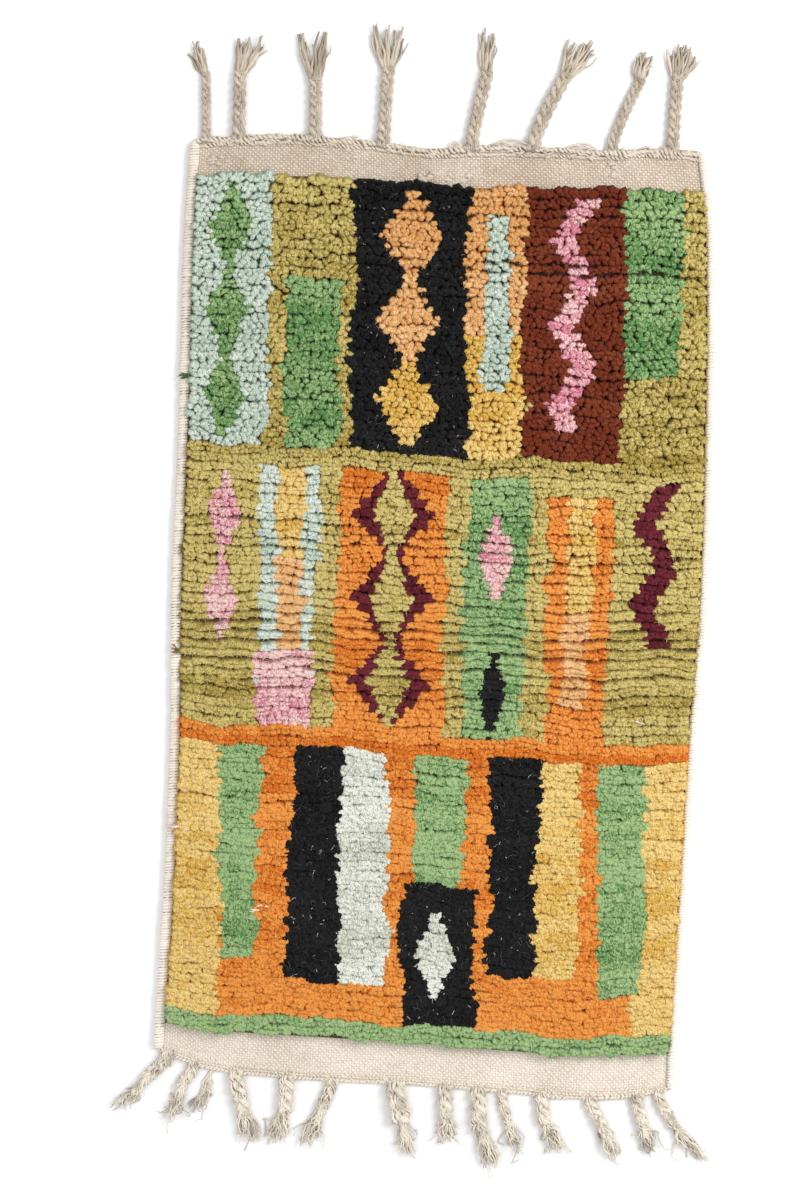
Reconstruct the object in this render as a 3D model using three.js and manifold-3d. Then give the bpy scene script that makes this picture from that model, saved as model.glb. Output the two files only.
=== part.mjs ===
// A small hand-knotted wool rug lying flat, in millimetres, with +Z up and +Y along the warp.
// Rows of knotted pile stand on a plain-woven foundation that stays bare at both ends. The long sides
// are overcast with yarn, and the warp ends are gathered into plaits that finish in loose brushes.
import * as THREE from "three";
import { mergeVertices } from "three/addons/utils/BufferGeometryUtils.js";
import Module from "manifold-3d";

const wasm = await Module();
wasm.setup();

// Cloth and pile
const CLOTH_THICKNESS = 4;
const PILE_HEIGHT = 17;
const GROOVE_HEIGHT = 11.5;
const PULLED_GROOVE_HEIGHT = 8;
const PILE_ROWS = 92;
const PILE_COLUMNS = 10;
const KNOT_LUMP = 1.4;
const SHOULDER_DROP = 3.5;
const EDGE_ROLL = 2.5;
const EDGE_ROLL_WIDTH = 9;
const ROWS_PER_BASE_POINT = 5;

// Overcast sides
const OVERCAST_WIDTH = 11;
const OVERCAST_HEIGHT = 9;
const OVERCAST_STEPS = 44;

// Plaits and brushes
const SEAT_GAP = 0.3;
const PLAIT_FLATNESS = 0.72;
const PLAIT_BULGE = 0.2;
const PLAIT_STEP = 6.5;
const STRAND_WIDTH = 3.4;
const STRAND_HEIGHT = 3.2;
const STRAND_TIP = 0.5;
const STRAND_STEPS = 2;
const STRAND_ROOT = 7;

// Where the outer edges of the overcast sides run, from the top end to the bottom end.
const SIDES = [
  { y: 545, left: -300, right: 288 },
  { y: 430, left: -304, right: 303 },
  { y: 190, left: -303, right: 310 },
  { y: 0, left: -304, right: 309 },
  { y: -150, left: -300, right: 302 },
  { y: -320, left: -301, right: 297 },
  { y: -520, left: -307, right: 291 },
];

// Where the woven ends and the pile begin and end, from the left side to the right side.
const ENDS = [
  { x: -300, topEdge: 528, pileTop: 486, pileFoot: -479, bottomEdge: -512 },
  { x: -240, topEdge: 534, pileTop: 488, pileFoot: -486, bottomEdge: -531 },
  { x: -150, topEdge: 536, pileTop: 490, pileFoot: -489, bottomEdge: -539 },
  { x: -75, topEdge: 532, pileTop: 486, pileFoot: -491, bottomEdge: -541 },
  { x: -25, topEdge: 527, pileTop: 484, pileFoot: -492, bottomEdge: -541 },
  { x: 20, topEdge: 531, pileTop: 483, pileFoot: -494, bottomEdge: -543 },
  { x: 100, topEdge: 533, pileTop: 485, pileFoot: -498, bottomEdge: -547 },
  { x: 170, topEdge: 532, pileTop: 484, pileFoot: -500, bottomEdge: -551 },
  { x: 230, topEdge: 536, pileTop: 485, pileFoot: -498, bottomEdge: -550 },
  { x: 290, topEdge: 535, pileTop: 485, pileFoot: -495, bottomEdge: -537 },
];

// Plaits: where each leaves the edge, how far out its neck and its brush tips lie, and how wide it is.
const TOP_TASSELS = [
  { root: -281, neck: -284, neckOut: 73, tip: -297, tipOut: 110, width: 10, fan: 8, strands: 4 },
  { root: -244, neck: -245, neckOut: 72, tip: -235, tipOut: 116, width: 14, fan: 15, strands: 7 },
  { root: -157, neck: -159, neckOut: 66, tip: -164, tipOut: 121, width: 14, fan: 17, strands: 7 },
  { root: -79, neck: -76, neckOut: 84, tip: -78, tipOut: 134, width: 14, fan: 20, strands: 8 },
  { root: 22, neck: 37, neckOut: 84, tip: 36, tipOut: 137, width: 14, fan: 9, strands: 6 },
  { root: 92, neck: 127, neckOut: 83, tip: 143, tipOut: 123, width: 15, fan: 16, strands: 7 },
  { root: 182, neck: 212, neckOut: 80, tip: 214, tipOut: 115, width: 12, fan: 11, strands: 6 },
  { root: 251, neck: 254, neckOut: 81, tip: 258, tipOut: 120, width: 14, fan: 17, strands: 7 },
];
const BOTTOM_TASSELS = [
  { root: -288, neck: -314, neckOut: 30, tip: -341, tipOut: 62, width: 12, fan: 9, strands: 6 },
  { root: -258, neck: -274, neckOut: 27, tip: -284, tipOut: 66, width: 11, fan: 7, strands: 5 },
  { root: -236, neck: -241, neckOut: 24, tip: -256, tipOut: 50, width: 6, fan: 5, strands: 3 },
  { root: -210, neck: -201, neckOut: 40, tip: -188, tipOut: 78, width: 14, fan: 9, strands: 6 },
  { root: -152, neck: -153, neckOut: 38, tip: -162, tipOut: 76, width: 14, fan: 9, strands: 6 },
  { root: -100, neck: -114, neckOut: 38, tip: -128, tipOut: 76, width: 11, fan: 8, strands: 5 },
  { root: -28, neck: -19, neckOut: 42, tip: -8, tipOut: 80, width: 18, fan: 7, strands: 7 },
  { root: 29, neck: 32, neckOut: 33, tip: 35, tipOut: 64, width: 14, fan: 10, strands: 6 },
  { root: 67, neck: 70, neckOut: 44, tip: 86, tipOut: 87, width: 15, fan: 8, strands: 6 },
  { root: 94, neck: 104, neckOut: 38, tip: 116, tipOut: 68, width: 9, fan: 5, strands: 4 },
  { root: 139, neck: 144, neckOut: 30, tip: 161, tipOut: 64, width: 13, fan: 10, strands: 6 },
  { root: 195, neck: 212, neckOut: 32, tip: 226, tipOut: 66, width: 12, fan: 8, strands: 5 },
  { root: 248, neck: 256, neckOut: 30, tip: 265, tipOut: 62, width: 12, fan: 8, strands: 6 },
  { root: 272, neck: 292, neckOut: 37, tip: 324, tipOut: 76, width: 10, fan: 8, strands: 5 },
];

const IVORY_WARP = new THREE.MeshStandardMaterial({ color: 0xd9cbb2, roughness: 0.95, metalness: 0 });
const OLIVE_WOOL = new THREE.MeshStandardMaterial({ color: 0xb5a25b, roughness: 0.95, metalness: 0 });

const mix = THREE.MathUtils.lerp;

// A column of a table at one place along its key, on a smooth curve through the rows.
function read(table, key, column, at) {
  const rows = [...table].sort((a, b) => a[key] - b[key]);
  const place = THREE.MathUtils.clamp(at, rows[0][key], rows.at(-1)[key]);
  const found = rows.findIndex((row) => row[key] >= place);
  const i = Math.max(1, found);
  const slope = (n) => {
    const before = rows[Math.max(0, n - 1)];
    const after = rows[Math.min(rows.length - 1, n + 1)];
    return (after[column] - before[column]) / (after[key] - before[key]);
  };
  const span = rows[i][key] - rows[i - 1][key];
  const t = (place - rows[i - 1][key]) / span;
  return (
    (2 * t ** 3 - 3 * t ** 2 + 1) * rows[i - 1][column] +
    (t ** 3 - 2 * t ** 2 + t) * span * slope(i - 1) +
    (3 * t ** 2 - 2 * t ** 3) * rows[i][column] +
    (t ** 3 - t ** 2) * span * slope(i)
  );
}
const side = (column, y) => read(SIDES, "y", column, y);
const end = (column, x) => read(ENDS, "x", column, x);

// A closed mesh from corner points and triangles that index them.
function closedGeometry(points, triangles) {
  const geometry = new THREE.BufferGeometry();
  geometry.setAttribute("position", new THREE.Float32BufferAttribute(points.flat(), 3));
  geometry.setIndex(triangles.flat());
  return geometry;
}

// A closed mesh through rings that each hold the same number of points, with a flat cap at both ends.
function loft(rings) {
  const count = rings[0].length;
  const triangles = [];
  for (let r = 0; r + 1 < rings.length; r++) {
    for (let k = 0; k < count; k++) {
      const a = r * count + k;
      const b = r * count + ((k + 1) % count);
      triangles.push([a, b + count, b], [a, a + count, b + count]);
    }
  }
  const last = (rings.length - 1) * count;
  for (let k = 1; k + 1 < count; k++) {
    triangles.push([0, k, k + 1], [last, last + k + 1, last + k]);
  }
  return closedGeometry(rings.flat(), triangles);
}

// The half-round section of a yarn form that lies on the floor, with its flat side down.
function restingSection(left, right, height) {
  return [
    [-left, 0],
    [right, 0],
    [right, 0.5 * height],
    [0.5 * right, height],
    [-0.5 * left, height],
    [-left, 0.5 * height],
  ];
}

// A section set across a path that runs in the plane of the floor.
function across(point, tangent, section) {
  return section.map(([s, z]) => [point.x + s * tangent.y, point.y - s * tangent.x, z]);
}

// The height of the pile's grooves: rows near the middle of the rug have been pulled apart.
function grooveHeight(share) {
  const pulled = Math.exp(-(((share - 0.46) / 0.07) ** 2));
  return mix(GROOVE_HEIGHT, PULLED_GROOVE_HEIGHT, pulled);
}

// The lines across the rug from the top edge to the bottom edge: where each lies, and how high it is.
function clothLines() {
  const lines = [];
  const woven = (from, to, share, z) => {
    lines.push({ y: (x) => mix(end(from, x), end(to, x), share), z: () => z, pile: false });
  };
  const roll = EDGE_ROLL_WIDTH / (ENDS[0].topEdge - ENDS[0].pileTop);
  woven("topEdge", "pileTop", 0, CLOTH_THICKNESS);
  woven("topEdge", "pileTop", roll / 2, CLOTH_THICKNESS + EDGE_ROLL);
  woven("topEdge", "pileTop", roll, CLOTH_THICKNESS);
  woven("topEdge", "pileTop", 0.995, CLOTH_THICKNESS);
  for (let row = 0; row < PILE_ROWS; row++) {
    const at = (share) => (x) => mix(end("pileTop", x), end("pileFoot", x), (row + share) / PILE_ROWS);
    const lump = (x) => KNOT_LUMP * Math.sin(0.11 * x + 2.4 * row) * Math.sin(0.047 * x - 1.3 * row);
    lines.push({ y: at(0.08), z: () => grooveHeight(row / PILE_ROWS), pile: true });
    lines.push({ y: at(0.62), z: (x) => PILE_HEIGHT - Math.abs(lump(x)), pile: true });
  }
  lines.push({ y: (x) => end("pileFoot", x), z: () => GROOVE_HEIGHT, pile: true });
  woven("pileFoot", "bottomEdge", 0.02, CLOTH_THICKNESS);
  woven("pileFoot", "bottomEdge", 0.86, CLOTH_THICKNESS);
  woven("pileFoot", "bottomEdge", 0.93, CLOTH_THICKNESS + EDGE_ROLL / 2);
  woven("pileFoot", "bottomEdge", 1, CLOTH_THICKNESS);
  return lines;
}

// Where the columns of the cloth cross a line, between the overcast sides.
function columnX(y, column) {
  const u = column / PILE_COLUMNS;
  const near = y(mix(ENDS[0].x, ENDS.at(-1).x, u));
  const inset = OVERCAST_WIDTH + SEAT_GAP;
  return mix(side("left", near) + inset, side("right", near) - inset, u);
}

// The woven cloth with its knotted pile: one solid, flat underneath, with a ridge for each row of knots.
function clothGeometry() {
  const lines = clothLines();
  const points = [];
  lines.forEach((line) => {
    for (let c = 0; c <= PILE_COLUMNS; c++) {
      const x = columnX(line.y, c);
      const shoulder = line.pile && (c === 0 || c === PILE_COLUMNS) ? SHOULDER_DROP : 0;
      points.push([x, line.y(x), line.z(x) - shoulder]);
    }
  });
  const top = (row, c) => row * (PILE_COLUMNS + 1) + c;
  const lastRow = lines.length - 1;
  const triangles = [];
  for (let row = 0; row < lastRow; row++) {
    for (let c = 0; c < PILE_COLUMNS; c++) {
      triangles.push([top(row, c), top(row + 1, c), top(row + 1, c + 1)]);
      triangles.push([top(row, c), top(row + 1, c + 1), top(row, c + 1)]);
    }
  }

  // The rim runs down the left side, along the bottom edge, up the right side and back along the top edge.
  const rim = [];
  for (let row = 0; row < lastRow; row++) rim.push(top(row, 0));
  for (let c = 0; c < PILE_COLUMNS; c++) rim.push(top(lastRow, c));
  for (let row = lastRow; row > 0; row--) rim.push(top(row, PILE_COLUMNS));
  for (let c = PILE_COLUMNS; c > 0; c--) rim.push(top(0, c));

  // Base points stand under every few points of the rim, and under all those of the two ends.
  const isBase = rim.map((index, i) => {
    const row = Math.floor(index / (PILE_COLUMNS + 1));
    return row === 0 || row === lastRow || i % ROWS_PER_BASE_POINT === 0;
  });
  const base = new Map();
  rim.forEach((index, i) => {
    if (!isBase[i]) return;
    base.set(i, points.length);
    points.push([points[index][0], points[index][1], 0]);
  });
  let under = base.get(0);
  for (let i = 0; i < rim.length; i++) {
    const next = (i + 1) % rim.length;
    triangles.push([rim[i], under, rim[next]]);
    if (base.has(next)) {
      triangles.push([rim[next], under, base.get(next)]);
      under = base.get(next);
    }
  }
  const loop = [...base.values()];
  const contour = loop.map((index) => new THREE.Vector2(points[index][0], points[index][1]));
  for (const [a, b, c] of THREE.ShapeUtils.triangulateShape(contour, [])) {
    triangles.push([loop[a], loop[c], loop[b]]);
  }
  return closedGeometry(points, triangles);
}

// A side overcast with yarn: a round cord that follows the rug's edge from end to end.
function overcastGeometry(column, inward) {
  const corner = inward > 0 ? ENDS[0] : ENDS.at(-1);
  const rings = [];
  for (let i = 0; i <= OVERCAST_STEPS; i++) {
    const y = mix(corner.topEdge, corner.bottomEdge, i / OVERCAST_STEPS);
    const swell = 1 + 0.06 * Math.sin(2.1 * i);
    const section = restingSection(OVERCAST_WIDTH / 2, OVERCAST_WIDTH / 2, OVERCAST_HEIGHT * swell);
    const centre = { x: side(column, y) + (inward * OVERCAST_WIDTH) / 2, y };
    rings.push(across(centre, { x: 0, y: -1 }, section));
  }
  return loft(rings);
}

// A closed three.js mesh as a solid that can be joined.
function solid(geometry) {
  const merged = mergeVertices(geometry, 1e-4);
  return new wasm.Manifold(
    new wasm.Mesh({
      numProp: 3,
      vertProperties: new Float32Array(merged.attributes.position.array),
      triVerts: new Uint32Array(merged.index.array),
    }),
  );
}

// A joined solid as a three.js mesh again.
function geometryOf(joined) {
  const mesh = joined.getMesh();
  const geometry = new THREE.BufferGeometry();
  geometry.setAttribute("position", new THREE.BufferAttribute(mesh.vertProperties, 3));
  geometry.setIndex(new THREE.BufferAttribute(mesh.triVerts, 1));
  return geometry;
}

// The cloth's edge at one place along it, on the straight stretches between the cloth's columns.
function edgeAt(edgeColumn, x) {
  const edge = (at) => end(edgeColumn, at);
  const places = Array.from({ length: PILE_COLUMNS + 1 }, (_, c) => columnX(edge, c));
  const passed = places.filter((place) => place < x).length;
  const next = THREE.MathUtils.clamp(passed, 1, PILE_COLUMNS);
  const [before, after] = [places[next - 1], places[next]];
  return mix(edge(before), edge(after), (x - before) / (after - before));
}

// A plait of three strands: its sides swell by turns, left and right, as the strands cross. Its root
// follows the rug's edge, a hair's breadth away.
function plaitGeometry(path, width, outward, seat) {
  const steps = Math.max(4, Math.round(path.getLength() / PLAIT_STEP));
  const rings = [];
  for (let i = 0; i <= steps; i++) {
    const bulge = PLAIT_BULGE * Math.cos((Math.PI * i) / 2);
    const bound = i === steps ? 0.8 : 1;
    const half = (width / 2) * bound;
    const height = width * PLAIT_FLATNESS * bound * (1 - 0.12 * (i % 2));
    const section = restingSection(half * (1 + bulge), half * (1 - bulge), height);
    const point = path.getPointAt(i / steps);
    if (i === 0) {
      rings.push(section.map(([s, z]) => [point.x + s * outward, seat(point.x + s * outward), z]));
    } else {
      rings.push(across(point, path.getTangentAt(i / steps), section));
    }
  }
  return loft(rings);
}

// A loose yarn of a brush: three-sided, lying level, thinner towards its tip.
function strandGeometry(path) {
  const rings = [];
  for (let i = 0; i <= STRAND_STEPS; i++) {
    const t = i / STRAND_STEPS;
    const taper = mix(1, STRAND_TIP, t);
    const half = (STRAND_WIDTH / 2) * taper;
    const section = [
      [-half, 0],
      [half, 0],
      [0, STRAND_HEIGHT * taper],
    ];
    rings.push(across(path.getPointAt(t), path.getTangentAt(t), section));
  }
  return loft(rings);
}

// A gathered bundle of warp ends: the plait, with its brush of loose strands joined at the neck.
function tasselGeometry(row, edgeColumn, outward) {
  const half = row.width / 2;
  const seat = (x) => edgeAt(edgeColumn, x) + outward * SEAT_GAP;
  const place = (x, out) => new THREE.Vector3(x, seat(row.root) + outward * out, 0);
  const root = place(row.root, 0);
  const neck = place(row.neck, row.neckOut);
  const start = place(row.root, 0.12 * row.neckOut);
  const plait = new THREE.CatmullRomCurve3([root, start, neck]);
  let joined = solid(plaitGeometry(plait, row.width, outward, seat));
  const back = plait.getTangentAt(1).multiplyScalar(-STRAND_ROOT);
  for (let n = 0; n < row.strands; n++) {
    const spread = (2 * n) / (row.strands - 1) - 1;
    const uneven = 1 - 0.12 * ((n * 5) % 3);
    const from = neck.clone().add(back);
    from.x += 0.5 * half * spread;
    const tip = place(row.tip + row.fan * spread, mix(row.neckOut, row.tipOut, uneven));
    const middle = from.clone().lerp(tip, 0.5);
    middle.x += 0.15 * row.fan * spread;
    joined = joined.add(solid(strandGeometry(new THREE.CatmullRomCurve3([from, middle, tip]))));
  }
  return geometryOf(joined);
}

const rug = new THREE.Group();
rug.name = "knotted_rug";

function addPiece(name, geometry, material) {
  const mesh = new THREE.Mesh(geometry, material);
  mesh.name = name;
  rug.add(mesh);
}

addPiece("pile_cloth", clothGeometry(), OLIVE_WOOL);
addPiece("overcast_left", overcastGeometry("left", 1), IVORY_WARP);
addPiece("overcast_right", overcastGeometry("right", -1), IVORY_WARP);
TOP_TASSELS.forEach((row, i) => {
  addPiece(`top_tassel_${i + 1}`, tasselGeometry(row, "topEdge", 1), IVORY_WARP);
});
BOTTOM_TASSELS.forEach((row, i) => {
  addPiece(`bottom_tassel_${i + 1}`, tasselGeometry(row, "bottomEdge", -1), IVORY_WARP);
});

// The origin is on the floor, under the middle of the whole rug.
const middle = new THREE.Box3().setFromObject(rug).getCenter(new THREE.Vector3());
rug.position.set(-middle.x, -middle.y, 0);

export default rug;
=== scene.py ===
import math

import bpy
import numpy as np
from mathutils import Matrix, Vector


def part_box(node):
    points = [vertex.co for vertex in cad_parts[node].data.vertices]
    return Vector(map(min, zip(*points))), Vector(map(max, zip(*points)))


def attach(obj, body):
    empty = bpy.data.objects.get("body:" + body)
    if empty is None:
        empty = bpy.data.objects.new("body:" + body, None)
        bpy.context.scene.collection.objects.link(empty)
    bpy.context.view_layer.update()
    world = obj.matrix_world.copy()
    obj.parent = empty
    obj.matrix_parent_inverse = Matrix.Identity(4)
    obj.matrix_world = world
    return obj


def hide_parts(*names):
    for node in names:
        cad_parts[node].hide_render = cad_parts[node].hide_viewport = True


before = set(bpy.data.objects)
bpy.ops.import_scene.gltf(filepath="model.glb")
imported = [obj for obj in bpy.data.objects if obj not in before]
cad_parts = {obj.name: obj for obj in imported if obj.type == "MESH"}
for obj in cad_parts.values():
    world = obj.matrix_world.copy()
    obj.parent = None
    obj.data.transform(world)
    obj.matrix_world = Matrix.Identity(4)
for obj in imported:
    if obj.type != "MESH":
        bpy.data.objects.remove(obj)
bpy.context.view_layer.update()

# The ground cloth
# The rug is woven on ivory wool warps. The cloth stays bare as plain weave at both ends, a little puckered
# where it was beaten unevenly, and carries the knots between them. It lies flat on the floor.

MM = 0.001
draw = np.random.default_rng(27)


def table(names, *rows):
    """A short table with named columns, in millimetres."""
    return np.array(list(rows), dtype=[(name, float) for name in names.split()])


SIDES = table(
    "y left right",
    (545, -300, 288),
    (430, -304, 303),
    (190, -303, 310),
    (0, -304, 309),
    (-150, -300, 302),
    (-320, -301, 297),
    (-520, -307, 291),
)
ENDS = table(
    "x top_edge pile_top pile_foot bottom_edge",
    (-300, 528, 486, -479, -512),
    (-240, 534, 488, -486, -531),
    (-150, 536, 490, -489, -539),
    (-75, 532, 486, -491, -541),
    (-25, 527, 484, -492, -541),
    (20, 531, 483, -494, -543),
    (100, 533, 485, -498, -547),
    (170, 532, 484, -500, -551),
    (230, 536, 485, -498, -550),
    (290, 535, 485, -495, -537),
)
PUCKERS = table(
    "x y height radius",
    (-12, 494, 2.6, 7),
    (6, 497, 3.2, 8),
    (27, 493, 2.4, 7),
    (-55, 500, 1.6, 10),
    (-235, 503, 2.0, 12),
    (-205, 498, 1.6, 9),
    (170, 506, 1.8, 10),
    (205, 512, 1.4, 12),
    (-120, 515, 1.2, 14),
    (-130, -514, 1.0, 14),
    (60, -520, 1.0, 16),
)
RUG_WIDTH = float(np.mean(SIDES["right"] - SIDES["left"]))
OVERCAST_WIDTH = 11
WARP_PITCH = 3.1
WEFT_PITCH = 2.7
CLOTH_TOP = 3.2
WEAVE_RELIEF = 1.0
COVERED_STEP = 60
CLOTH_IN = 9
FOOT_CLEANER = 0.35
# Dark brown painted on the cloth under the pile, as the shade the pile casts on it.
SHADE_UNDER_PILE = "54462f"


def read(rows, key, column, at):
    """A column of a table at places along its key, on a smooth curve through the rows."""
    order = np.argsort(rows[key])
    x = rows[key][order]
    v = rows[column][order]
    slope = np.gradient(v, x)
    slope[1:-1] = (v[2:] - v[:-2]) / (x[2:] - x[:-2])
    at = np.clip(at, x[0], x[-1])
    i = np.clip(np.searchsorted(x, at), 1, len(x) - 1)
    span = x[i] - x[i - 1]
    t = (at - x[i - 1]) / span
    return (
        (2 * t**3 - 3 * t**2 + 1) * v[i - 1]
        + (t**3 - 2 * t**2 + t) * span * slope[i - 1]
        + (3 * t**2 - 2 * t**3) * v[i]
        + (t**3 - t**2) * span * slope[i]
    )


def side(column, y):
    return read(SIDES, "y", column, y)


def end(column, x):
    return read(ENDS, "x", column, x)


def mix(a, b, t):
    return a + (b - a) * t


def between(line_from, line_to, share):
    """A line across the rug, part of the way from one of its end lines to another."""
    return lambda x: mix(end(line_from, x), end(line_to, x), share)


def across(line, u, left_in=OVERCAST_WIDTH, right_in=OVERCAST_WIDTH):
    """Places along a line, from near the left side at u = 0 to near the right side at u = 1."""
    near = line(mix(ENDS["x"][0], ENDS["x"][-1], u))
    x = mix(side("left", near) + left_in, side("right", near) - right_in, u)
    return x, line(x)


def rug_origin():
    """Where the rug's own zero lies in the frame, found from the left overcast side."""
    low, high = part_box("overcast_left")
    reach = np.linspace(low.y, high.y, 500) / MM
    reach += ENDS["bottom_edge"][0] - reach[0]
    return np.array([low.x - side("left", reach).min() * MM, low.y - ENDS["bottom_edge"][0] * MM, 0])


ORIGIN = rug_origin()


def build(name, points, faces, values=None):
    """A smooth mesh object from points in millimetres in the rug's own place, and lists of like faces."""
    mesh = bpy.data.meshes.new(name)
    faces = [np.asarray(f, np.int32) for f in faces]
    corners = np.concatenate([f.ravel() for f in faces])
    sizes = np.concatenate([np.full(len(f), f.shape[1], np.int32) for f in faces])
    mesh.vertices.add(len(points))
    mesh.loops.add(len(corners))
    mesh.polygons.add(len(sizes))
    mesh.vertices.foreach_set("co", (np.asarray(points) * MM + ORIGIN).astype(np.float32).ravel())
    mesh.loops.foreach_set("vertex_index", corners)
    mesh.polygons.foreach_set("loop_start", (np.cumsum(sizes) - sizes).astype(np.int32))
    mesh.polygons.foreach_set("loop_total", sizes)
    mesh.polygons.foreach_set("use_smooth", np.ones(len(sizes), bool))
    mesh.update(calc_edges=True)
    for key, value in (values or {}).items():
        attribute = mesh.attributes.new(key, "FLOAT", "POINT")
        attribute.data.foreach_set("value", np.asarray(value, np.float32).ravel())
    piece = bpy.data.objects.new(name, mesh)
    bpy.context.scene.collection.objects.link(piece)
    return piece


class Socket:
    """A value in a material, so that shader maths reads as plain expressions."""

    def __init__(self, paint, out):
        self.paint = paint
        self.out = out

    def __add__(self, other):
        return self.paint.maths("ADD", self, other)

    def __sub__(self, other):
        return self.paint.maths("SUBTRACT", self, other)

    def __rsub__(self, other):
        return self.paint.maths("SUBTRACT", other, self)

    def __mul__(self, other):
        return self.paint.maths("MULTIPLY", self, other)

    __radd__ = __add__
    __rmul__ = __mul__


class Paint:
    """A material whose nodes all come from one method."""

    def __init__(self, name):
        self.material = bpy.data.materials.new(name)
        self.material.use_nodes = True
        self.tree = self.material.node_tree
        self.tree.nodes.clear()

    def node(self, kind, settings, sockets, output=0):
        made = self.tree.nodes.new(kind)
        for key, value in settings.items():
            setattr(made, key, value)
        for key, value in sockets.items():
            if isinstance(value, Socket):
                self.tree.links.new(value.out, made.inputs[key])
            else:
                made.inputs[key].default_value = value
        return Socket(self, made.outputs[output]) if made.outputs else made

    def maths(self, operation, a, b, clamp=False):
        return self.node("ShaderNodeMath", {"operation": operation, "use_clamp": clamp}, {0: a, 1: b})

    def clamped(self, value):
        return self.maths("ADD", value, 0, clamp=True)

    def blend(self, a, b, share, how="MIX"):
        settings = {"data_type": "RGBA", "blend_type": how}
        return self.node("ShaderNodeMix", settings, {0: share, 6: a, 7: b}, output=2)

    def noise(self, scale, detail=2, stretch=(1, 1, 1)):
        place = self.node("ShaderNodeTexCoord", {}, {}, "Object")
        place = self.node("ShaderNodeVectorMath", {"operation": "MULTIPLY"}, {0: place, 1: stretch})
        return self.node("ShaderNodeTexNoise", {}, {"Vector": place, "Scale": scale, "Detail": detail})

    def value(self, name):
        return self.node("ShaderNodeAttribute", {"attribute_name": name}, {}, "Fac")

    def bump(self, height, distance):
        return self.node("ShaderNodeBump", {}, {"Height": height, "Distance": distance})

    def wool(self, colour, normal, roughness=0.92, sheen=0.25):
        sockets = {
            "Base Color": colour,
            "Roughness": roughness,
            "Normal": normal,
            "Sheen Weight": sheen,
            "Sheen Roughness": 0.6,
            "Specular IOR Level": 0.12,
        }
        surface = self.node("ShaderNodeBsdfPrincipled", {}, sockets)
        self.node("ShaderNodeOutputMaterial", {}, {"Surface": surface})
        return self.material


def dye(code):
    """A dye's colour from its six-figure code, as linear light."""
    parts = [int(code[i : i + 2], 16) / 255 for i in (0, 2, 4)]
    return (*[c / 12.92 if c <= 0.04045 else ((c + 0.055) / 1.055) ** 2.4 for c in parts], 1)


def plain_yarn(name, shade, light, grain, soil=16, soiled=0.7):
    """Plain wool yarn: painted paler on its crests and darker in its hollows as light and shade, and cleaner
    towards the rug's foot.
    """
    paint = Paint(name)
    place = paint.node("ShaderNodeTexCoord", {}, {}, "Object")
    foot = paint.node("ShaderNodeSeparateXYZ", {}, {"Vector": place}, "Y") * -FOOT_CLEANER
    handled = (paint.noise(soil, 3) - 0.5) * soiled
    fibre = paint.noise(grain, 2)
    # The crest value paints the yarn paler where it stands high and darker in its hollows, as light and
    # shade.
    share = paint.clamped(paint.value("crest") * 0.8 + handled + (fibre - 0.5) * 0.6 + foot + 0.1)
    colour = paint.blend(dye(shade), dye(light), share)
    # Where the pile covers the cloth, it is painted dark brown as the pile's shade.
    colour = paint.blend(colour, dye(SHADE_UNDER_PILE), paint.value("covered"))
    return paint.wool(colour, paint.bump(fibre, 0.0006))


def dress(piece, material, slot, *nodes):
    """Gives a piece its finish, and says which body it rides on and which solids it stands for."""
    piece.data.materials.append(material)
    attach(piece, "root")
    if nodes:
        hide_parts(*nodes)
    return piece


def woven_lines():
    """The cloth's lines from the top edge down: fine ones where the weave shows, and few under the pile."""
    lines = []
    for start, stop in (("top_edge", "pile_top"), ("pile_foot", "bottom_edge")):
        depth = abs(float(np.mean(ENDS[start] - ENDS[stop])))
        count = round(depth / (WEFT_PITCH / 2))
        lines.append([between(start, stop, i / count) for i in range(count + 1)])
    covered = round(float(np.mean(ENDS["pile_top"] - ENDS["pile_foot"])) / COVERED_STEP)
    hidden = [between("pile_top", "pile_foot", i / covered) for i in range(1, covered)]
    return lines[0] + hidden + lines[1], len(lines[0]), len(hidden)


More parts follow.
